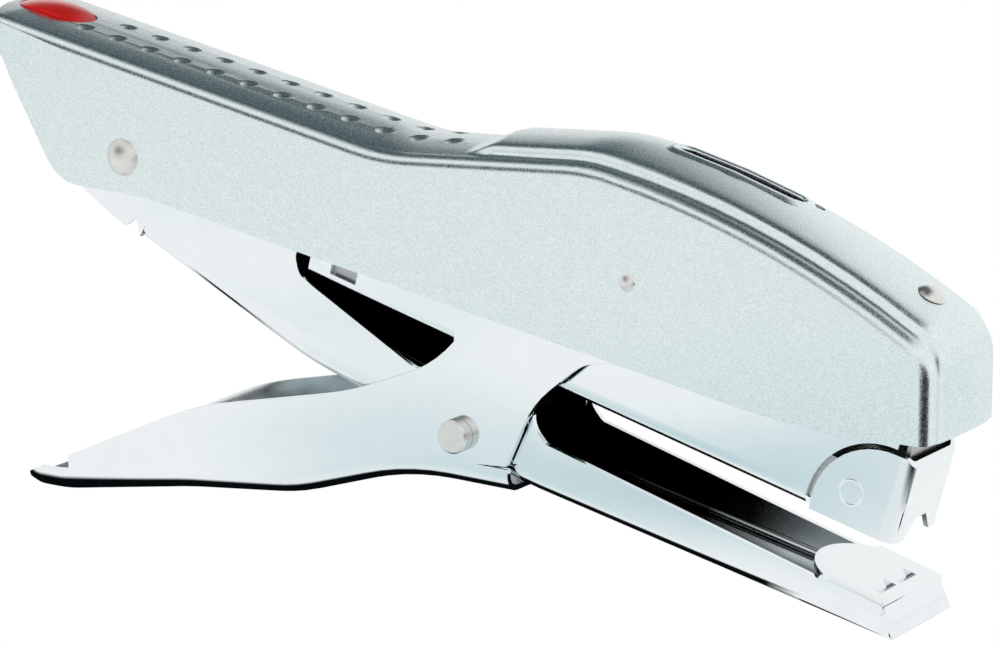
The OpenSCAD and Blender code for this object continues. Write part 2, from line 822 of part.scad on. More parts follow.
// Two shallow troughs that fold the staple legs inwards
module staple_grooves() {
    trough_r = 1.6;
    reach = groove_span / 2 - 1.2;
    for (side = [-1, 1])
        translate([-3.4, side * (0.6 + reach / 2), anvil_t + trough_r - 0.5])
            rod_y(trough_r, reach / 2);
}

module lever_pin() {
    color("gainsboro")
        at_pivot(lever_pivot) {
            rod_y(lever_pin_d / 2, lever_out + 0.05);
            for (side = [-1, 1])
                rotate([side * 90, 0, 0])
                    translate([0, 0, lever_out + 0.05]) {
                        cylinder(d = lever_head_d, h = lever_head_h - 0.3);
                        translate([0, 0, lever_head_h - 0.3])
                            cylinder(d1 = lever_head_d, d2 = lever_head_d - 0.6, h = 0.3);
                    }
        }
}

module lever_washers() {
    color("silver")
        at_pivot(lever_pivot)
            for (side = [-1, 1])
                translate([0, side * (arm_out + lever_gap / 2 - 0.03), 0])
                    difference() {
                        rod_y(4, lever_gap / 2 - 0.03);
                        rod_y(lever_pin_d / 2, far / 2);
                    }
}

// ---- Lever ----

module lever_handle() {
    tail_wall = lever_path[0][0] + 9.5;
    waist = [-47, 19.2];
    wing_slope = 0.46;
    front_wall = lever_path[6][0] - 0.2;
    edge = path_points(shifted(lever_path, lever_fold + 0.5));
    low = concat([[tail_wall, lookup(tail_wall, edge)]],
        [for (p = edge) if (p[0] > tail_wall && p[0] < front_wall) p]);
    upper = path_points([
        [front_wall, 18, 0],
        [20.6, 29, 18],
        [30, 36.9, 10],
        [43.5, 38.5, 5],
        [45, 52.5, 6],
        [36, 58, 5],
        [17, 52.5, 10],
        [3, 33.4, 24],
        [-16, 25.9, 50],
        [waist[0], waist[1], 60],
        [tail_wall, waist[1] - (waist[0] - tail_wall) * wing_slope, 0]]);
    color("whitesmoke")
        difference() {
            union() {
                sweep(lever_path, turned_over(folded_sheet(lever_out, lever_fold, lever_t, 1)));
                walls(concat(low, upper), lever_in, lever_out);
            }
            plate([
                waist - 48 * [1, wing_slope],
                waist,
                waist + [0, 21],
                waist + [-48, 21]], -far / 2, far / 2);
            at_pivot(lever_pivot)
                rod_y(lever_pin_d / 2 + pin_fit, lever_out + 1);
            fulcrum_slot();
        }
}

// The slot follows the fulcrum pin, as the lever sees it, from open to closed jaws
module fulcrum_slot() {
    closed_pin = rear_pivot + rotated(lever_pivot - rear_pivot, close_angle);
    slot_end = lever_pivot + rotated(fulcrum - closed_pin, -(1 + lever_ratio) * close_angle);
    slot = slot_end - fulcrum;
    sag = 0.26;
    r = fulcrum_d / 2 + play + sag;
    at_pivot(fulcrum)
        rotate([0, -atan2(slot[1], slot[0]), 0])
            translate([0, 0, -sag]) {
                for (x = [0, norm(slot)])
                    translate([x, 0, 0])
                        rod_y(r, lever_out + 1);
                translate([0, -lever_out - 1, -r])
                    cube([norm(slot), 2 * lever_out + 2, 2 * r]);
            }
}

// ---- Magazine ----

module housing_side() {
    walls(concat([
        [0, -4],
        [20, -3.2],
        [housing_u - 2, -1.2],
        [housing_u, -1.2],
        [housing_u, -magazine_drop + 2]],
        [[nose_arc_u, -magazine_drop + 2],
        [nose_arc_u, housing_top + 4],
        [nose_u - 20, housing_top + 4],
        [nose_u - 40, housing_top],
        [housing_u, housing_top],
        [8, 4],
        [0, 4]]), housing_in, housing_out);
}

module magazine_housing() {
    color("white")
        in_magazine()
            difference() {
                union() {
                    difference() {
                        housing_side();
                        translate([hook_u - 3, 0, -0.4])
                            cube([4.6, far, 2.6], center = true);
                    }
                    rod_y_ears();
                    sweep([
                        [housing_u, -magazine_drop, 0],
                        [nose_arc_u, -magazine_drop, 0]],
                        turned_over(folded_sheet(housing_out, 1.8, housing_t, 1)));
                }
                rod_y(rear_pin_d / 2 + pin_fit, housing_out + 1);
                translate([nose_arc_u, 0, nose_arc_w])
                    rod_y(nose_arc + 0.9, far / 2);
                channel_window();
            }
}

// A small window in each side, through which the channel shows
module channel_window() {
    length = 5.2;
    height = 3;
    translate([housing_u + 6.9 - length / 2, -far / 2, floor_w + 2.65 - height / 2])
        cube([length, far, height]);
}

module rod_y_ears() {
    for (side = [-1, 1])
        translate([0, side * (housing_in + housing_out) / 2, 0])
            rod_y(4, housing_t / 2);
}

module spring_bridge() {
    color("silver")
        in_magazine()
            translate([bridge_u - bridge_half, -housing_out, housing_top])
                cube([2 * bridge_half, 2 * housing_out, 0.8]);
}

module staple_channel() {
    color("lightgray")
        in_magazine() {
            sweep([
                [housing_u + 1, floor_w, 0],
                [strip_u, floor_w, 0]],
                turned_over(folded_sheet(channel_out, 1, channel_t, 1)));
            walls([
                [housing_u + 1, floor_w + 1],
                [nose_u - nose_r - 0.1, floor_w + 1],
                [nose_u - nose_r - 0.1, rail_w + 1.5],
                [housing_u + 1, rail_w + 1.5]], channel_in, channel_out);
        }
}

module nose_piece() {
    side = concat([
        [nose_arc_u - sqrt(nose_arc * nose_arc - pow(nose_arc_w - nose_low, 2)), nose_low],
        [nose_u, nose_low],
        [nose_u, nose_low + nose_height - 1.5],
        [nose_u - 1.5, nose_low + nose_height]],
        [for (a = [90:7.5:180]) [nose_arc_u + nose_arc * cos(a), nose_arc_w + nose_arc * sin(a)]]);
    color("white")
        in_magazine()
            difference() {
                intersection() {
                    plate(side, -nose_out, nose_out);
                    translate([nose_u - nose_length - 5, 0, -20])
                        difference() {
                            nose_plan(nose_out, nose_r, 0);
                            translate([0, 0, -1])
                                nose_plan(channel_out, nose_r - nose_t, nose_t);
                        }
                }
                nose_arch();
            }
}

// Plan of the nose: a tongue with rounded front corners
module nose_plan(half, r, back) {
    length = nose_length + 5 - back;
    translate([back > 0 ? -1 : 0, -half, 0])
        cube([length - r + (back > 0 ? 1 : 0), 2 * half, 50]);
    translate([length - r - 1, -half + r, 0])
        cube([r + 1, 2 * (half - r), 50]);
    for (side = [-1, 1])
        translate([length - r, side * (half - r), 0])
            cylinder(r = r, h = 50);
}

module nose_arch() {
    translate([nose_u, 0, nose_low])
        rotate([90, 0, 90])
            linear_extrude(8, center = true)
                polygon([[-4.2, -1], [-4.2, 0], [-1.6, 3.2], [1.6, 3.2], [4.2, 0], [4.2, -1]]);
}

module staple_rail() {
    inside = rail_out - rail_t;
    depth = rail_w - staple_w;
    color("lightgray")
        in_magazine()
            difference() {
                union() {
                    translate([housing_u + 1.5, 0, 0])
                        difference() {
                            translate([0, -rail_out, staple_w])
                                cube([strip_u - housing_u - 2, 2 * rail_out, depth]);
                            translate([-1, -inside, staple_w - 1])
                                cube([far, 2 * inside, depth - rail_t + 1]);
                        }
                    for (u = [web_u, strip_u - 5])
                        translate([u, -inside - eps, staple_w])
                            cube([1, 2 * inside + 2 * eps, depth - rail_t + eps]);
                }
                translate([hook_u, 0, rail_w])
                    cube([3.4 + 2 * play, 2 * latch_half + 2 * play, 4 * rail_t], center = true);
                translate([pusher_u - pusher_length - 30, -1.2 - play, rail_w - 2 * rail_t])
                    cube([pusher_length + 31, 2.4 + 2 * play, 3 * rail_t]);
                translate([web_u - 1, 0, rod_w])
                    rotate([0, 90, 0])
                        cylinder(r = rod_r, h = far);
            }
}

module pusher_rod() {
    color("gainsboro")
        in_magazine()
            translate([web_u, 0, rod_w])
                rotate([0, 90, 0])
                    cylinder(r = rod_r, h = strip_u - 4 - web_u);
}

module staple_strip() {
    color("silver")
        in_magazine()
            difference() {
                translate([strip_u - strip_length, -leg_half, staple_w + 0.1])
                    cube([strip_length, 2 * leg_half, crown_w - staple_w - 0.1]);
                translate([strip_u - strip_length - 1, -leg_half + staple_wire, 0])
                    translate([0, 0, staple_w - 1])
                        cube([strip_length + 2, 2 * (leg_half - staple_wire),
                            crown_w - staple_wire - staple_w + 1]);
            }
}

module staple_pusher() {
    color("darkgray")
        in_magazine()
            translate([pusher_u - pusher_length, 0, 0])
                difference() {
                    union() {
                        difference() {
                            translate([0, -leg_half, staple_w + 0.3])
                                cube([pusher_length, 2 * leg_half, crown_w + 1.4 - staple_w - 0.3]);
                            translate([-1, -rail_out - 0.1, staple_w - 1])
                                cube([pusher_length + 2, 2 * rail_out + 0.2,
                                    rail_w - staple_w + 1.05]);
                        }
                        translate([0, -1.2, rod_w])
                            cube([pusher_length, 2.4, rail_w - rod_w + 0.5]);
                        translate([0, 0, rod_w])
                            rotate([0, 90, 0])
                                cylinder(r = 2, h = pusher_length);
                    }
                    translate([-1, 0, rod_w])
                        rotate([0, 90, 0])
                            cylinder(r = rod_r + pin_fit, h = pusher_length + 2);
                }
}

module indicator_flag() {
    color("dimgray")
        in_magazine() {
            translate([flag_u - 0.5, slot_y - 1.5, flag_foot])
                cube([1, 1.9, flag_top - flag_foot]);
            translate([flag_u - 0.5, -1.2, flag_foot])
                cube([pusher_u - 2 - flag_u, slot_y + 1.6, 0.8]);
        }
}

module pusher_spring() {
    from = web_u + 1.2;
    to = pusher_u - pusher_length - 0.2;
    color("gray")
        in_magazine()
            translate([from, 0, rod_w])
                rotate([0, 90, 0])
                    wire(coil(1.8, to - from, 22, 12), 0.25, 5);
}

module magazine_spring() {
    base = magazine_point(bridge_u, housing_top + 1.3);
    height = waist_z + waist_roof_h * roof_share(ridge_half) - cover_t - base[1] - 0.9;
    color("gray")
        in_magazine()
            translate([bridge_u, 0, housing_top + 1.25])
                wire(coil(3, height / cos(magazine_tilt) - 0.6, 6), 0.4);
}

module arm_spring() {
    r = rear_pin_d / 2 + 1;
    turns = 5;
    half = 3.6;
    loops = [for (p = coil(r, 2 * half, turns)) [p[0], p[2] - half, p[1]]];
    last = loops[len(loops) - 1];
    up = [[r + 0.4, -half, cover_leg()]];
    down = [[last[0] + 1, half, -12.6]];
    color("gray")
        at_pivot(rear_pivot)
            wire(concat(up, loops, down), 0.45);
}

function cover_leg() = handle_z(rear_pivot_x) - rear_pivot_z - cover_t - 1.6;

// ---- Release ----

module release_button() {
    dome_r = 18;
    lip = 1;
    post = pad_drop * cos(handle_angle) - latch_t / 2 - 0.1;
    color("red")
        on_handle(button_x) {
            intersection() {
                translate([0, 0, -cover_t - lip])
                    button_shape(button_l, button_w, 8);
                translate([0, 0, button_h - dome_r])
                    sphere(r = dome_r, $fn = fine);
            }
            translate([0, 0, -cover_t - play - lip])
                button_shape(button_l - 0.4, button_w + 2, lip);
            translate([2, 0, -post])
                cylinder(d = 3, h = post - cover_t - play);
        }
}

module release_latch() {
    pad_x = [button_x - 1.9, button_x + 5];
    color("silver")
        difference() {
            union() {
                sweep([
                    [pad_x[0], handle_z(pad_x[0]) - pad_drop, 0],
                    [pad_x[1], handle_z(pad_x[1]) - pad_drop, 4],
                    [latch_x, latch_z, 8],
                    [hook_bend[0], hook_bend[1], 2.5],
                    [hook_point[0], hook_point[1], 0]], flat_sheet(latch_half, latch_t));
                at_pivot([latch_x, latch_z])
                    rod_y(1.9, latch_half);
            }
            at_pivot([latch_x, latch_z])
                rod_y(latch_pin_d / 2 + pin_fit, far / 2);
        }
}

module latch_bracket() {
    inner = latch_half + 0.15;
    color("silver")
        difference() {
            on_handle(latch_x)
                union() {
                    translate([-3, -inner - 0.8, -cover_t - 0.8])
                        cube([6, 2 * inner + 1.6, 0.8]);
                    for (side = [-1, 1])
                        translate([-3, side > 0 ? inner : -inner - 0.8, -9.5])
                            cube([6, 0.8, 9.5 - cover_t - 0.4]);
                }
            at_pivot([latch_x, latch_z])
                rod_y(latch_pin_d / 2, far / 2);
        }
}

module latch_pin() {
    color("gainsboro")
        at_pivot([latch_x, latch_z])
            rod_y(latch_pin_d / 2, latch_half + 1.2);
}

module latch_spring() {
    x = latch_x + 19;
    low = latch_z + (x - latch_x) * latch_slope + latch_t / 2 + 1.1;
    high = handle_z(x) - cover_t - 0.9;
    color("gray")
        translate([x, 0, low])
            wire(coil(1.7, high - low, 5), 0.25);
}

top_cover();
driver_blade();
driver_rivet();
rear_pivot_pin();
pivot_washers();
fulcrum_pin();
indicator_scale();
indicator_pointer();
anvil_arm();
anvil_plate();
lever_pin();
lever_washers();
lever_handle();
magazine_housing();
spring_bridge();
staple_channel();
nose_piece();
staple_rail();
pusher_rod();
staple_strip();
staple_pusher();
indicator_flag();
pusher_spring();
magazine_spring();
arm_spring();
release_button();
release_latch();
latch_bracket();
latch_pin();
latch_spring();
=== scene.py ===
import json
import math

import bpy
from bpy.props import FloatProperty, FloatVectorProperty, PointerProperty
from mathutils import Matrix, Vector

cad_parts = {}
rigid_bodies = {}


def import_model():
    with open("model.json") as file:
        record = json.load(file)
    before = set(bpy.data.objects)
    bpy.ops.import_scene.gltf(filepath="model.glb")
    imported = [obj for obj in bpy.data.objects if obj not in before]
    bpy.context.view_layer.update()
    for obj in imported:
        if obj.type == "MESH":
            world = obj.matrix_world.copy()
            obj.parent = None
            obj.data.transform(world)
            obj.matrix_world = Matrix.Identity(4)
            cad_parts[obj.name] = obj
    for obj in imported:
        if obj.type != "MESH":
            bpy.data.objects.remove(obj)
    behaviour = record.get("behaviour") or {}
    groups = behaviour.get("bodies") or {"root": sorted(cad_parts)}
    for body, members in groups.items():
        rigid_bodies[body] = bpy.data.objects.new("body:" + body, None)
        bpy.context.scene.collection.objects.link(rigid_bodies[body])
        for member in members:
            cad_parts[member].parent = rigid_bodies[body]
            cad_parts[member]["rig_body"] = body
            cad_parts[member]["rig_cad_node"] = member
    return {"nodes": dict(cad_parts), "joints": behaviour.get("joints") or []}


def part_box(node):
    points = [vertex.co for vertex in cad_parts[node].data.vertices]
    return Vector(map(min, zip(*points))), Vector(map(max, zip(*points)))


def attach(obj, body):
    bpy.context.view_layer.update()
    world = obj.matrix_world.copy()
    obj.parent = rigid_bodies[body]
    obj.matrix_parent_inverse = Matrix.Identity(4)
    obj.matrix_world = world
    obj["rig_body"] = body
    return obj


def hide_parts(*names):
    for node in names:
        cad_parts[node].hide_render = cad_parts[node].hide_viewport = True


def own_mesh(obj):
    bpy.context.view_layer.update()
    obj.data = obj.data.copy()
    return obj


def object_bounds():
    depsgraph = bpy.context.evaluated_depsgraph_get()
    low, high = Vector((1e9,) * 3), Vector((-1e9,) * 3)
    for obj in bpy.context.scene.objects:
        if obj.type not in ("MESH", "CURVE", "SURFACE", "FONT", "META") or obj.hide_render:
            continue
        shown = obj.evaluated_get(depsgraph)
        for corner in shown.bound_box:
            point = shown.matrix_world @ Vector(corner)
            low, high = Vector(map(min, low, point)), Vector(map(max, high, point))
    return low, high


bl_info = {
    "name": "Plier Stapler",
    "version": (1, 0, 0),
    "blender": (4, 5, 0),
    "location": "View3D > Sidebar > Stapler",
    "description": "Dresses a plier stapler in paint, chrome, rivets and staples, in its studio",
    "category": "Object",
}

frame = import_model()
cad_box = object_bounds()
MM = 0.001

# the magazine and what is in it slope down towards the front by this angle
MAGAZINE_TILT = math.radians(14.8)
# the fine marks in plain steel run at this slope
MARK_SLOPE = math.radians(15)
# rings are made round the Y axis, and this turn lays them flat, round the Z axis
LAID_FLAT = (math.radians(90), 0, 0)

# the opening of the indicator slot
SLOT_HALF_LENGTH = 11.5 * MM
SLOT_RADIUS = 1.8 * MM

CAMERA_PLACE = (0.3519, -0.5298, 0.1867)
CAMERA_AIM = (0.007, 0.0008, 0.0382)
CAMERA_LENS = 144.64
CAMERA_SENSOR = 36

# dark cards one metre away: name, azimuth and elevation, width and height as they look, shade
HUNG_CARDS = (
    ("card_back", 140, 50, (68, 66), 0.08),
    ("card_left", -124, 20, (60, 36), 0.03),
)
HUNG_CARD_EDGE = 0.25
CARD_EDGE = 0.04

# cards that lie just over the floor: name, middle, size, shade
FLOOR_CARDS = (
    ("card_corner_floor", (0.26, -0.16), (0.30, 0.34), 0.01),
    ("card_below", (-0.02, 0.018), (0.17, 0.066), 0.004),
    ("card_below_jaw", (0.075, 0.0), (0.03, 0.016), 0.004),
)
OVER_FLOOR = 0.0004

# lamps that face the middle of the stapler: name, place, size, power in watts
LAMPS = (
    ("key_lamp", (-0.5, -1.1, 0.55), (2.2, 1.4), 8),
    ("back_lamp", (0.25, 1.1, 0.9), (1.5, 0.8), 2),
    ("side_lamp", (1.2, -0.2, 0.4), (1.2, 1.0), 2.5),
)
WORLD_STRENGTH = 0.35


# ---------------------------------------------------------------- places

def middle(node):
    """The middle of a frame node's box."""
    low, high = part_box(node)
    return (low + high) / 2


def slot_place():
    """The middle of the indicator slot on the crown and the slope of the crown there."""
    low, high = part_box("indicator_scale")
    centre = (low + high) / 2
    joint = next(j for j in frame["joints"] if j["name"] == "indicator_slide")
    axis = Vector(joint["axis"])
    slope = math.atan2(axis.z, axis.x)
    return centre, slope


# ---------------------------------------------------------------- settings

def length_property(name, description, default, precision=5):
    """A length that a user can change."""
    return FloatProperty(
        name=name, description=description, default=default, unit="LENGTH", precision=precision
    )


def colour_property(name, description, default):
    """A colour that a user can change."""
    return FloatVectorProperty(
        name=name,
        description=description,
        default=default,
        subtype="COLOR",
        size=3,
        min=0,
        max=1,
    )


class StaplerSizes(bpy.types.PropertyGroup):
    """Sizes of the dressed pieces."""

    fold_angle: FloatProperty(
        name="Fold angle",
        description="Bends flatter than this are shaded as one smooth surface",
        default=math.radians(42),
        subtype="ANGLE",
    )
    merge: length_property(
        "Merge distance",
        "Corners of a frame part nearer than this become one",
        0.002 * MM,
        precision=6,
    )
    rim_height: length_property(
        "Slot rim height", "How far the pressed rim stands above the crown", 0.5 * MM
    )
    rim_flat: length_property("Slot rim flat", "Width of the flat around the slot", 0.8 * MM)
    rim_slope: length_property(
        "Slot rim slope", "Width of the slope from the rim down to the crown", 1.3 * MM
    )
    digit_height: length_property(
        "Digit height", "Height of the printed nought beside the slot", 2.3 * MM
    )
    grain_size: length_property(
        "Paint grain", "Size of one flake in the cover's metallic paint", 0.17 * MM
    )


class StaplerColours(bpy.types.PropertyGroup):
    """Colours of the dressed pieces."""

    paint: colour_property("Paint", "Metallic paint of the cover", (0.755, 0.86, 0.87))
    chrome: colour_property("Chrome", "Plated sheet parts", (0.83, 0.875, 0.885))
    rivet: colour_property("Rivets", "Turned rivet and pin heads", (0.78, 0.77, 0.74))
    button: colour_property("Button", "Glossy release button", (0.85, 0.010, 0.006))
    scale: colour_property("Scale", "Moulded scale under the slot", (0.012, 0.012, 0.013))
    pointer: colour_property("Pointer", "Staple indicator", (0.60, 0.02, 0.02))
    wire: colour_property("Staple wire", "Staples and springs", (0.62, 0.63, 0.63))


# ---------------------------------------------------------------- shader arithmetic

class Value:
    """A shader socket on which Python arithmetic adds Math nodes."""

    def __init__(self, finish, socket):
        self.finish = finish
        self.socket = socket

    def _math(self, operation, first, second=0.0):
        return self.finish.node(
            "ShaderNodeMath", {"operation": operation}, {0: first, 1: second}
        )

    def __add__(self, other):
        return self._math("ADD", self, other)

    __radd__ = __add__

    def __sub__(self, other):
        return self._math("SUBTRACT", self, other)

    def __rsub__(self, other):
        return self._math("SUBTRACT", other, self)

    def __mul__(self, other):
        return self._math("MULTIPLY", self, other)

    __rmul__ = __mul__

    def __truediv__(self, other):
        return self._math("DIVIDE", self, other)

    def __pow__(self, other):
        return self._math("POWER", self, other)

    def __lt__(self, other):
        return self._math("LESS_THAN", self, other)

    def most(self, other):
        return self._math("MINIMUM", self, other)

    def least(self, other):
        return self._math("MAXIMUM", self, other)

    def size(self):
        return self._math("ABSOLUTE", self)


class Finish:
    """A material under construction round one Principled shader."""

    def __init__(self, name, **values):
        self.material = bpy.data.materials.new(name)
        self.material.use_nodes = True
        self.tree = self.material.node_tree
        self.shader = self.tree.nodes["Principled BSDF"]
        for key, value in values.items():
            self.set(key.replace("_", " ").title().replace("Ior", "IOR"), value)

    def node(self, kind, settings=None, values=None, out=0):
        """Adds a node, sets it, then gives its sockets their values or links."""
        made = self.tree.nodes.new(kind)
        for key, value in (settings or {}).items():
            setattr(made, key, value)
        for key, value in (values or {}).items():
            self._feed(made.inputs[key], value)
        return Value(self, made.outputs[out])

    def _feed(self, socket, value):
        if isinstance(value, Value):
            self.tree.links.new(value.socket, socket)
        elif hasattr(value, "__len__") and len(socket.default_value) == 4:
            socket.default_value = (*value[:3], 1)
        else:
            socket.default_value = value

    def set(self, socket, value):
        self._feed(self.shader.inputs[socket], value)

    def place(self):
        """Object coordinates in metres."""
        return self.node("ShaderNodeTexCoord", out="Object")

    def axes(self, centre=(0, 0, 0), turned=(0, 0, 0)):
        """Object coordinates moved to a centre and turned, as three values."""
        mapped = self.node(
            "ShaderNodeMapping",
            {"vector_type": "TEXTURE"},
            {"Vector": self.place(), "Location": centre, "Rotation": turned},
        )
        parts = self.node("ShaderNodeSeparateXYZ", None, {0: mapped})
        sockets = parts.socket.node.outputs
        return [Value(self, sockets[i]) for i in range(3)]

    def noise(self, size, detail=2.0, vector=None):
        """Soft noise with cells of one size in metres."""
        return self.node(
            "ShaderNodeTexNoise",
            None,
            {"Vector": vector or self.place(), "Scale": 1 / size, "Detail": detail},
        )

    def mix(self, factor, first, second):
        """A colour between two colours."""
        return self.node(
            "ShaderNodeMix",
            {"data_type": "RGBA"},
            {0: factor, 6: first, 7: second},
            out=2,
        )

    def bump(self, height, depth, strength):
        """Gives the shader a normal from a height of 0 to 1 over a depth in metres."""
        self.set(
            "Normal",
            self.node(
                "ShaderNodeBump",
                None,
                {"Height": height, "Distance": depth, "Strength": strength},
            ),
        )


def shades(colour, dark, light):
    """A darker and a lighter version of one colour."""
    return [tuple(min(c * f, 1.0) for c in colour) for f in (dark, light)]


# ---------------------------------------------------------------- finishes

def silver_paint(sizes, colours):
    """Metallic paint with fine flakes and a soft sheen."""
    paint = Finish("cover_paint", metallic=0.97, coat_weight=0.04, coat_roughness=0.15)
    flakes = paint.node(
        "ShaderNodeTexVoronoi",
        {"feature": "F1"},
        {"Vector": paint.place(), "Scale": 1 / sizes.grain_size},
        out="Color",
    )
    flake = paint.node("ShaderNodeSeparateColor", None, {0: flakes})
    cloud = paint.noise(2.0 * sizes.grain_size, 2.0)
    grain = flake * 0.6 + cloud * 0.4
    dark, light = shades(colours.paint, 0.78, 1.22)
    paint.set("Base Color", paint.mix(grain, dark, light))
    paint.set("Roughness", 0.22 + 0.12 * flake)
    paint.bump(grain, 0.012 * MM, 0.55)
    return paint.material


def chrome(colours, name, inside=0.0, shade_thins_from=1.0):
    """Bright plating over rolled sheet, a little wavy.

    Closer to the middle than inside, between the walls of a channel, painted shade darkens the
    plating nearly to black, and forward of a given x the painted shade thins out to a quarter.
    """
    plate = Finish(name, metallic=1.0)
    waves = plate.noise(26 * MM, 1.0)
    rubbed = plate.noise(3.5 * MM, 3.0)
    dark, light = shades(colours.chrome, 0.97, 1.03)
    skin = plate.mix(rubbed, dark, light)
    if inside:
        x, y, _ = plate.axes()
        # painted shade: the plating between the channel's walls is mixed towards near-black, less
        # so forward of a given x
        shade_thinning = ((x + waves * (8 * MM) - shade_thins_from) / (14 * MM)).least(0.0).most(1.0)
        painted_channel_shade = (y.size() < inside) * (1 - 0.75 * shade_thinning)
        skin = plate.mix(painted_channel_shade, skin, (0.020, 0.019, 0.018))
    plate.set("Base Color", skin)
    plate.set("Roughness", 0.07 + 0.05 * rubbed)
    plate.bump(waves, 0.05 * MM, 0.5)
    return plate.material


def spot_welded(colours, spots):
    """Chrome with the shallow rings of spot welds at some places."""
    plate = Finish("spot_welded_chrome", metallic=1.0)
    rubbed = plate.noise(3.5 * MM, 3.0)
    waves = plate.noise(20 * MM, 1.0)
    dark, light = shades(colours.chrome, 0.97, 1.03)
    ring = None
    for centre, radius, turned in spots:
        x, y, z = plate.axes(centre, turned)
        far = (x * x + z * z) ** 0.5
        near = (y.size() < 3 * MM) * (1 - ((far - radius) / (0.22 * MM)).size().most(1.0))
        ring = near if ring is None else ring + near
    plate.set("Base Color", plate.mix(rubbed, dark, light))
    plate.set("Roughness", 0.08 + 0.05 * rubbed + 0.1 * ring)
    plate.bump(waves * 0.5 + ring * 1.2, 0.05 * MM, 0.9)
    return plate.material


def turned_metal(name, colour, centre, turned, roughness):
    """Rivet metal with the fine rings of turning about its own middle."""
    metal = Finish(name, metallic=1.0)
    x, y, z = metal.axes(centre, turned)
    far = (x * x + z * z) ** 0.5
    pitch = 0.16 * MM
    rings = metal.node("ShaderNodeMath", {"operation": "SINE"}, {0: far * (2 * math.pi / pitch)})
    worn = metal.noise(0.7 * MM, 3.0)
    dark, light = shades(colour, 0.86, 1.12)
    metal.set("Base Color", metal.mix(worn, dark, light))
    metal.set("Roughness", roughness + 0.12 * worn)
    metal.bump(rings * 0.5 + worn, 0.006 * MM, 0.6)
    return metal.material


def brushed_metal(name, colour, roughness, grain):
    """Plain metal with fine marks along its length."""
    metal = Finish(name, metallic=1.0)
    stretched = metal.node(
        "ShaderNodeMapping",
        {"vector_type": "TEXTURE"},
        {"Vector": metal.place(), "Rotation": (0, MARK_SLOPE, 0), "Scale": (14, 1, 1)},
    )
    marks = metal.noise(grain, 2.0, vector=stretched)
    dark, light = shades(colour, 0.8, 1.15)
    metal.set("Base Color", metal.mix(marks, dark, light))
    metal.set("Roughness", roughness + 0.12 * marks)
    metal.bump(marks, 0.008 * MM, 0.5)
    return metal.material


def staple_wire(colours):
    """Glued staples, with a line between each wire and the next, painted shade in the grooves and
    a painted highlight on each wire's crest.
    """
    wire = Finish("staple_wire", metallic=1.0)
    low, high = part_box("staple_strip")
    x, _, _ = wire.axes(tuple((low + high) / 2), (0, MAGAZINE_TILT, 0))
    pitch = 0.55 * MM
    part = wire.node("ShaderNodeMath", {"operation": "PINGPONG"}, {0: x, 1: pitch / 2})
    crest = 1 - (part / (pitch / 2)) ** 2.0
    # painted shade and painted highlight: each wire is darker towards its grooves and lighter on
    # its crest
    dark, light = shades(colours.wire, 0.5, 1.2)
    wire.set("Base Color", wire.mix(crest, dark, light))
    wire.set("Roughness", 0.3 + 0.2 * (1 - crest))
    wire.bump(crest, 0.12 * MM, 0.8)
    return wire.material


def moulded(name, colour, roughness, coat=0.0, gloss=0.5):
    """Moulded plastic with a fine spark-eroded grain."""
    plastic = Finish(name, coat_weight=coat, coat_roughness=0.04, specular_ior_level=gloss)
    grain = plastic.noise(0.18 * MM, 2.0)
    cloud = plastic.noise(4 * MM, 2.0)
    dark, light = shades(colour, 0.88, 1.12)
    plastic.set("Base Color", plastic.mix(cloud, dark, light))
    plastic.set("Roughness", roughness + 0.08 * grain)
    plastic.bump(grain, 0.006 * MM, 0.3)
    return plastic.material


# ---------------------------------------------------------------- modelling helpers

def settings():
    scene = bpy.context.scene
    return scene.stapler_sizes, scene.stapler_colours


def only(piece):
    """Selects one object and makes it active."""
    bpy.ops.object.select_all(action="DESELECT")
    piece.select_set(True)
    bpy.context.view_layer.objects.active = piece


def finish_with(piece, material):
    """Gives a piece its one material."""
    piece.data.materials.clear()
    piece.data.materials.append(material)


def dressed(node, name, material, eased=0.0):
    """A copy of a frame part with its facets joined into smooth bends, standing for the part."""
    sizes, _ = settings()
    source = frame["nodes"][node]
    body = source["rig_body"]
    piece = source.copy()
    piece.data = source.data.copy()
    piece.name = piece.data.name = name
    piece.parent = None
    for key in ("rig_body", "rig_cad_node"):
        del piece[key]
    bpy.context.scene.collection.objects.link(piece)
    only(piece)
    bpy.ops.mesh.customdata_custom_splitnormals_clear()
    bpy.ops.object.mode_set(mode="EDIT")
    bpy.ops.mesh.select_all(action="SELECT")
    bpy.ops.mesh.remove_doubles(threshold=sizes.merge)
    bpy.ops.mesh.dissolve_limited(angle_limit=math.radians(0.2))
    bpy.ops.object.mode_set(mode="OBJECT")
    bpy.ops.object.shade_smooth_by_angle(angle=sizes.fold_angle)
    bpy.ops.object.modifier_add(type="WEIGHTED_NORMAL")
    piece.modifiers[-1].keep_sharp = True
    piece.modifiers[-1].weight = 80
    bpy.ops.object.modifier_apply(modifier=piece.modifiers[-1].name)
    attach(piece, body)
    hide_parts(node)
    finish_with(piece, material)
    if eased:
        only(piece)
        bpy.ops.object.modifier_add(type="BEVEL")
        round_over = piece.modifiers[-1]
        round_over.width = eased
        round_over.segments = 2
        round_over.limit_method = "ANGLE"
        round_over.angle_limit = math.radians(50)
        round_over.harden_normals = True
        bpy.ops.object.modifier_apply(modifier=round_over.name)
    return piece


def coloured(node, material):
    """Gives a frame part that stays shown its material."""
    part = frame["nodes"][node]
    part.data.materials.clear()
    part.data.materials.append(material)


def grounded(piece):
    """Puts a finished piece's place into its mesh."""
    only(piece)
    bpy.ops.object.transform_apply(location=True, rotation=True, scale=True)
    return piece


def crown_height(x, y):
    """The height of the cover's outside at a place seen from above."""
    cover = bpy.data.objects["cover_shell"]
    well_above = 0.2
    hit, place, _, _ = cover.ray_cast(Vector((x, y, well_above)), Vector((0, 0, -1)))
    if not hit:
        raise RuntimeError("there is no cover under this place")
    return place.z


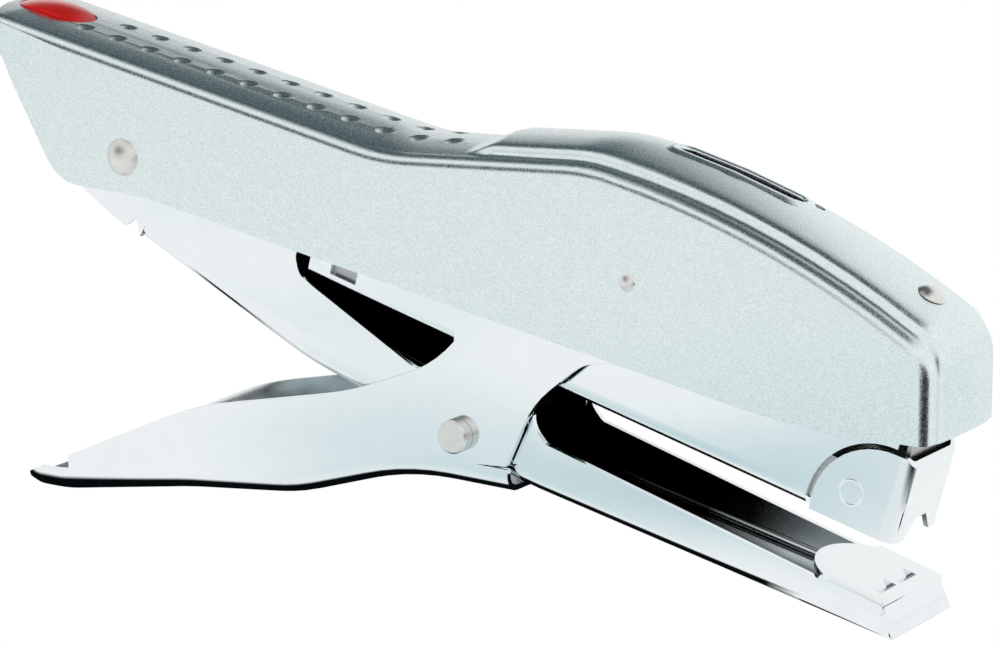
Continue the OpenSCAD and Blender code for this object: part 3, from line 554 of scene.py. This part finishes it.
def card_cloth(name, shade, edge):
    """Dark cloth that thins out over a share of its card along the four edges."""
    cloth = Finish(name, roughness=0.95)
    spot = cloth.node("ShaderNodeTexCoord", out="UV")
    parts = cloth.node("ShaderNodeSeparateXYZ", None, {0: spot}).socket.node.outputs
    across, up = Value(cloth, parts[0]), Value(cloth, parts[1])
    cover = (across.most(1 - across).most(up).most(1 - up) / edge).most(1.0)
    weave = cloth.noise(0.02, 2.0)
    dark, light = [(shade * f * 0.6, shade * f, shade * f * 1.15) for f in (0.85, 1.15)]
    glow = cloth.node(
        "ShaderNodeEmission", None, {"Color": cloth.mix(weave, dark, light), "Strength": 1.0}
    )
    open_part = cloth.node("ShaderNodeBsdfTransparent")
    both = cloth.node("ShaderNodeMixShader", None, {0: cover, 1: open_part, 2: glow})
    cloth.tree.links.new(both.socket, cloth.tree.nodes["Material Output"].inputs[0])
    return cloth.material


def studio_material(name, colour, tint):
    """A matt floor that shows white to the camera and faintly tinted in reflections."""
    made = Finish(name, roughness=0.9)
    path = made.node("ShaderNodeLightPath")
    outs = path.socket.node.outputs
    seen = Value(made, outs["Is Camera Ray"]) + Value(made, outs["Is Glossy Ray"])
    seen = (seen + Value(made, outs["Is Transmission Ray"])).most(1.0)
    grain = made.noise(0.4, 2.0)
    dark, light = shades(colour, 0.99, 1.01)
    made.set("Base Color", made.mix(grain, dark, light))
    drift = ((made.noise(0.16, 1.0) - 0.5) * 4).least(0.0).most(1.0)
    drift = drift * Value(made, outs["Is Glossy Ray"])
    glow = made.node(
        "ShaderNodeEmission", None, {"Color": made.mix(drift, (1, 1, 1), tint), "Strength": 1.0}
    )
    both = made.node(
        "ShaderNodeMixShader",
        None,
        {0: seen, 1: Value(made, made.shader.outputs[0]), 2: glow},
    )
    made.tree.links.new(both.socket, made.tree.nodes["Material Output"].inputs[0])
    return made.material


# ---------------------------------------------------------------- studio helpers

def card(name, place, size, aim, shade, edge=CARD_EDGE):
    """A dark card that only mirrors show."""
    bpy.ops.mesh.primitive_plane_add(size=1, location=place)
    made = bpy.context.object
    made.name = name
    made.scale = (size[0], size[1], 1)
    made.rotation_euler = (Vector(aim) - Vector(place)).to_track_quat("Z", "Y").to_euler()
    grounded(made)
    made.data.materials.append(card_cloth(name, shade, edge))
    made.visible_camera = False
    made.visible_diffuse = False
    made.visible_shadow = False


def hung_card(name, azimuth, elevation, spread, shade):
    """A card one metre away in some direction, as wide and high as it looks in degrees."""
    around, up = math.radians(azimuth), math.radians(elevation)
    level = math.cos(up)
    way = Vector((level * math.cos(around), level * math.sin(around), math.sin(up)))
    size = [2 * math.tan(math.radians(angle) / 2) for angle in spread]
    middle_of_part = (0, 0, 0.05)
    card(name, Vector(middle_of_part) + way, size, middle_of_part, shade, HUNG_CARD_EDGE)


def studio_world():
    """A dim world that shows white to the camera, in mirrors and through clear pieces."""
    world = bpy.data.worlds.new("studio")
    world.use_nodes = True
    tree = world.node_tree
    path = tree.nodes.new("ShaderNodeLightPath")
    seen = path.outputs["Is Camera Ray"]
    for ray in ("Is Glossy Ray", "Is Transmission Ray"):
        either = tree.nodes.new("ShaderNodeMath")
        either.operation = "ADD"
        either.use_clamp = True
        tree.links.new(seen, either.inputs[0])
        tree.links.new(path.outputs[ray], either.inputs[1])
        seen = either.outputs[0]
    dim = tree.nodes["Background"]
    white = tree.nodes.new("ShaderNodeBackground")
    for background, strength in ((dim, WORLD_STRENGTH), (white, 1.0)):
        background.inputs["Color"].default_value = (1, 1, 1, 1)
        background.inputs["Strength"].default_value = strength
    mix = tree.nodes.new("ShaderNodeMixShader")
    tree.links.new(seen, mix.inputs[0])
    tree.links.new(dim.outputs[0], mix.inputs[1])
    tree.links.new(white.outputs[0], mix.inputs[2])
    tree.links.new(mix.outputs[0], tree.nodes["World Output"].inputs[0])
    return world


# ---------------------------------------------------------------- operators

class STAPLER_OT_studio(bpy.types.Operator):
    """Sets up the floor, the cards, the lamps, the world and the camera"""

    bl_idname = "stapler.studio"
    bl_label = "Studio"

    def execute(self, context):
        scene = context.scene
        bpy.ops.object.select_all(action="DESELECT")
        low, high = cad_box
        centre = (Vector(low) + Vector(high)) / 2

        bpy.ops.mesh.primitive_plane_add(size=6, location=(0, 0, low.z))
        floor = context.object
        floor.name = "floor"
        matt = studio_material("floor", (0.88, 0.88, 0.88), (0.56, 0.72, 0.76))
        floor.data.materials.append(matt)
        grounded(floor)

        for row in HUNG_CARDS:
            hung_card(*row)
        card("card_overhead", (0.12, 0.08, 1.05), (0.9, 1.3), (0.12, 0.08, 0.05), 0.05, 0.22)
        card("card_corner", (0.26, -0.125, 0.045), (0.22, 0.10), (0.088, -0.012, 0.045), 0.01)
        for name, (x, y), size, shade in FLOOR_CARDS:
            card(name, (x, y, low.z + OVER_FLOOR), size, (x, y, 1), shade)

        for name, place, size, power in LAMPS:
            bpy.ops.object.light_add(type="AREA", location=place)
            lamp = context.object
            lamp.name = name
            lamp.data.shape = "RECTANGLE"
            lamp.data.size, lamp.data.size_y = size
            lamp.data.energy = power
            lamp.rotation_euler = (centre - Vector(place)).to_track_quat("-Z", "Y").to_euler()
            lamp.visible_glossy = False

        scene.world = studio_world()

        bpy.ops.object.camera_add(location=CAMERA_PLACE)
        camera = context.object
        camera.name = "camera"
        camera.data.sensor_width = CAMERA_SENSOR
        camera.data.lens = CAMERA_LENS
        camera.data.clip_start = 0.01
        camera.data.clip_end = 20
        aim = Vector(CAMERA_AIM) - camera.location
        camera.rotation_euler = aim.to_track_quat("-Z", "Y").to_euler()
        scene.camera = camera
        scene.view_settings.view_transform = "Standard"
        return {"FINISHED"}


class STAPLER_OT_cover(bpy.types.Operator):
    """Paints the cover"""

    bl_idname = "stapler.cover"
    bl_label = "Cover"

    def execute(self, context):
        sizes, colours = settings()
        paint = silver_paint(sizes, colours)
        dressed("top_cover", "cover_shell", paint)
        return {"FINISHED"}


class STAPLER_OT_slot_rim(bpy.types.Operator):
    """Builds the raised rim round the indicator slot"""

    bl_idname = "stapler.slot_rim"
    bl_label = "Slot rim"

    def execute(self, context):
        sizes, _ = settings()
        paint = bpy.data.materials["cover_paint"]
        centre, slope = slot_place()
        bpy.ops.object.select_all(action="DESELECT")
        bpy.ops.mesh.primitive_circle_add(vertices=48, radius=SLOT_RADIUS)
        rim = context.object
        rim.name = rim.data.name = "slot_rim"
        bpy.ops.object.mode_set(mode="EDIT")
        sunk = 0.3 * MM
        # the width of each band from the slot outwards, and the height of each band's edges
        bands = [
            sizes.rim_flat * 0.12,
            sizes.rim_flat * 0.88,
            sizes.rim_slope * 0.25,
            sizes.rim_slope * 0.5,
            sizes.rim_slope * 0.25,
            0.2 * MM,
        ]
        lift = [
            0.03 * MM,
            sizes.rim_height * 0.8,
            sizes.rim_height,
            sizes.rim_height * 0.86,
            sizes.rim_height * 0.16,
            0.0,
            -sunk,
        ]
        edge = [SLOT_RADIUS]
        for width in bands:
            bpy.ops.mesh.extrude_edges_move()
            grow = (edge[-1] + width) / edge[-1]
            bpy.ops.transform.resize(value=(grow, grow, 1))
            edge.append(edge[-1] + width)
        bpy.ops.object.mode_set(mode="OBJECT")
        straight = SLOT_HALF_LENGTH - SLOT_RADIUS
        clear_of_slot = SLOT_RADIUS + 0.6 * MM
        for corner in rim.data.vertices:
            far = corner.co.xy.length
            ring = min(range(len(edge)), key=lambda i: abs(edge[i] - far))
            end = 0 if abs(corner.co.x) <= 1e-6 else math.copysign(straight, corner.co.x)
            x = corner.co.x + end
            outside = max(1.0, clear_of_slot / far)
            beside = Vector((x + (outside - 1) * corner.co.x, outside * corner.co.y))
            z = crown_height(centre.x + beside.x * math.cos(slope), centre.y + beside.y)
            z += (x - beside.x) * math.sin(slope) + lift[ring]
            corner.co = Vector((centre.x + x * math.cos(slope), centre.y + corner.co.y, z))
        only(rim)
        bpy.ops.object.mode_set(mode="EDIT")
        bpy.ops.mesh.select_all(action="SELECT")
        bpy.ops.mesh.normals_make_consistent(inside=False)
        if sum(face.normal.z * face.area for face in rim.data.polygons) < 0:
            bpy.ops.mesh.flip_normals()
        bpy.ops.object.mode_set(mode="OBJECT")
        bpy.ops.object.shade_smooth()
        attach(rim, "body")
        finish_with(rim, paint)
        return {"FINISHED"}


class STAPLER_OT_nought(bpy.types.Operator):
    """Prints the nought at the empty end of the scale"""

    bl_idname = "stapler.nought"
    bl_label = "Nought"

    def execute(self, context):
        sizes, _ = settings()
        ink = moulded("printed_ink", (0.02, 0.02, 0.022), 0.5)
        x, y = 62.6 * MM, 5.7 * MM
        bpy.ops.object.select_all(action="DESELECT")
        bpy.ops.object.text_add(location=(0, 0, 0))
        digit = context.object
        digit.data.body = "0"
        font_size_per_height = 1.35
        digit.data.size = sizes.digit_height * font_size_per_height
        digit.data.align_x = "CENTER"
        digit.data.align_y = "CENTER"
        digit.data.extrude = 0.06 * MM
        digit.name = "scale_nought"
        bpy.ops.object.convert(target="MESH")
        digit = context.object
        digit.rotation_euler = (0, 0, math.radians(90))
        grounded(digit)
        for corner in digit.data.vertices:
            place = Vector((x + corner.co.x, y + corner.co.y))
            corner.co = Vector((*place, crown_height(*place) + corner.co.z))
        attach(digit, "body")
        finish_with(digit, ink)
        return {"FINISHED"}


class STAPLER_OT_arm(bpy.types.Operator):
    """Plates the anvil arm and the anvil plate"""

    bl_idname = "stapler.arm"
    bl_label = "Anvil arm"

    def execute(self, context):
        _, colours = settings()
        # the arm's channel gets painted shade between its walls
        plate = chrome(colours, "arm_chrome", inside=8.3 * MM, shade_thins_from=48 * MM)
        dressed("anvil_arm", "arm_shell", plate, eased=0.12 * MM)
        low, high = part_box("anvil_plate")
        welded = spot_welded(
            colours,
            [((low.x + 7 * MM, (low.y + high.y) / 2, 0), 1.7 * MM, LAID_FLAT)],
        )
        welded.name = "anvil_chrome"
        dressed("anvil_plate", "anvil_cap", welded, eased=0.1 * MM)
        return {"FINISHED"}


class STAPLER_OT_lever(bpy.types.Operator):
    """Plates the lever handle"""

    bl_idname = "stapler.lever"
    bl_label = "Lever"

    def execute(self, context):
        _, colours = settings()
        plate = chrome(colours, "lever_chrome")
        dressed("lever_handle", "lever_shell", plate, eased=0.12 * MM)
        return {"FINISHED"}


class STAPLER_OT_magazine(bpy.types.Operator):
    """Plates the magazine, its nose and its channel"""

    bl_idname = "stapler.magazine"
    bl_label = "Magazine"

    def execute(self, context):
        _, colours = settings()
        plate = chrome(colours, "housing_chrome")
        dressed("magazine_housing", "housing_shell", plate, eased=0.12 * MM)
        low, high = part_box("nose_piece")
        spot_x, spot_z = low.x + 7.2 * MM, (low.z + high.z) / 2
        welded = spot_welded(
            colours,
            [((spot_x, side * 8 * MM, spot_z), 2.0 * MM, (0, 0, 0)) for side in (-1, 1)],
        )
        welded.name = "nose_chrome"
        dressed("nose_piece", "nose_shell", welded, eased=0.1 * MM)
        steel = brushed_metal("channel_steel", (0.46, 0.47, 0.47), 0.28, 0.3 * MM)
        dressed("staple_channel", "channel_liner", steel)
        dressed("staple_rail", "rail_shell", steel)
        coloured("spring_bridge", steel)
        return {"FINISHED"}


class STAPLER_OT_staples(bpy.types.Operator):
    """Finishes the staples, the pusher and its rod"""

    bl_idname = "stapler.staples"
    bl_label = "Staples and pusher"

    def execute(self, context):
        _, colours = settings()
        coloured("staple_strip", staple_wire(colours))
        black = moulded("pusher_plastic", (0.015, 0.015, 0.016), 0.38)
        coloured("staple_pusher", black)
        coloured("pusher_rod", brushed_metal("rod_steel", (0.5, 0.5, 0.5), 0.24, 0.2 * MM))
        return {"FINISHED"}


class STAPLER_OT_springs(bpy.types.Operator):
    """Finishes the four springs"""

    bl_idname = "stapler.springs"
    bl_label = "Springs"

    def execute(self, context):
        _, colours = settings()
        steel = brushed_metal("spring_steel", (0.30, 0.30, 0.31), 0.26, 0.15 * MM)
        along = (math.cos(MAGAZINE_TILT), 0, -math.sin(MAGAZINE_TILT))
        square = (math.sin(MAGAZINE_TILT), 0, math.cos(MAGAZINE_TILT))
        # the spring's fixed end is at these corners of its box, lowest 0 or highest 1, in x and z;
        # keep is the share of its length that is left at the joint's limit
        for node, joint, axis, ends, keep in (
            ("pusher_spring", "pusher_slide", along, (0, 1), 0.87),
            ("magazine_spring", "magazine_lift", square, (1, 1), 0.77),
            ("latch_spring", "latch_release", (0, 0, 1), (1, 1), 0.40),
            ("arm_spring", None, None, None, None),
        ):
            coil = dressed(node, node + "_wire", steel)
            if joint:
                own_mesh(coil)
        return {"FINISHED"}


class STAPLER_OT_rivets(bpy.types.Operator):
    """Finishes the rivets, the pins and their washers"""

    bl_idname = "stapler.rivets"
    bl_label = "Rivets and pins"

    def execute(self, context):
        _, colours = settings()
        for node, roughness in (
            ("rear_pivot_pin", 0.34),
            ("fulcrum_pin", 0.3),
            ("lever_pin", 0.3),
            ("latch_pin", 0.3),
        ):
            centre = tuple(middle(node))
            metal = turned_metal(node + "_metal", colours.rivet, centre, (0, 0, 0), roughness)
            dressed(node, node + "_head", metal)
        centre = tuple(middle("driver_rivet"))
        metal = turned_metal("driver_rivet_metal", colours.rivet, centre, LAID_FLAT, 0.28)
        dressed("driver_rivet", "driver_rivet_head", metal)
        steel = brushed_metal("washer_steel", (0.5, 0.5, 0.5), 0.3, 0.2 * MM)
        for node in ("pivot_washers", "lever_washers", "latch_bracket", "release_latch"):
            coloured(node, steel)
        coloured("driver_blade", brushed_metal("driver_steel", (0.42, 0.43, 0.44), 0.22, 0.2 * MM))
        return {"FINISHED"}


class STAPLER_OT_button(bpy.types.Operator):
    """Finishes the release button"""

    bl_idname = "stapler.button"
    bl_label = "Release button"

    def execute(self, context):
        _, colours = settings()
        red = moulded("button_red", colours.button, 0.16, 0.2, 0.35)
        dressed("release_button", "button_dome", red)
        return {"FINISHED"}


class STAPLER_OT_indicator(bpy.types.Operator):
    """Finishes the staple indicator: its scale, pointer and flag"""

    bl_idname = "stapler.indicator"
    bl_label = "Indicator"

    def execute(self, context):
        _, colours = settings()
        coloured("indicator_scale", moulded("scale_black", colours.scale, 0.62, gloss=0.12))
        red = moulded("pointer_red", colours.pointer, 0.3, 0.2)
        coloured("indicator_pointer", red)
        coloured("indicator_flag", moulded("flag_plastic", (0.03, 0.03, 0.03), 0.4))
        return {"FINISHED"}


class STAPLER_PT_panel(bpy.types.Panel):
    """Lists the steps that dress the stapler"""

    bl_label = "Stapler"
    bl_idname = "STAPLER_PT_panel"
    bl_space_type = "VIEW_3D"
    bl_region_type = "UI"
    bl_category = "Stapler"

    def draw(self, context):
        for group in (context.scene.stapler_sizes, context.scene.stapler_colours):
            for name in group.__annotations__:
                self.layout.prop(group, name)
        for step in STEPS:
            self.layout.operator(step.bl_idname)


STEPS = (
    STAPLER_OT_studio,
    STAPLER_OT_cover,
    STAPLER_OT_slot_rim,
    STAPLER_OT_nought,
    STAPLER_OT_arm,
    STAPLER_OT_lever,
    STAPLER_OT_magazine,
    STAPLER_OT_staples,
    STAPLER_OT_springs,
    STAPLER_OT_rivets,
    STAPLER_OT_button,
    STAPLER_OT_indicator,
)
CLASSES = (StaplerSizes, StaplerColours, *STEPS, STAPLER_PT_panel)


def register():
    for made in CLASSES:
        bpy.utils.register_class(made)
    bpy.types.Scene.stapler_sizes = PointerProperty(type=StaplerSizes)
    bpy.types.Scene.stapler_colours = PointerProperty(type=StaplerColours)


def unregister():
    del bpy.types.Scene.stapler_colours
    del bpy.types.Scene.stapler_sizes
    for made in reversed(CLASSES):
        bpy.utils.unregister_class(made)


def main():
    register()
    for step in STEPS:
        group, name = step.bl_idname.split(".")
        getattr(getattr(bpy.ops, group), name)()
    bpy.ops.object.select_all(action="DESELECT")


if __name__ == "__main__":
    main()
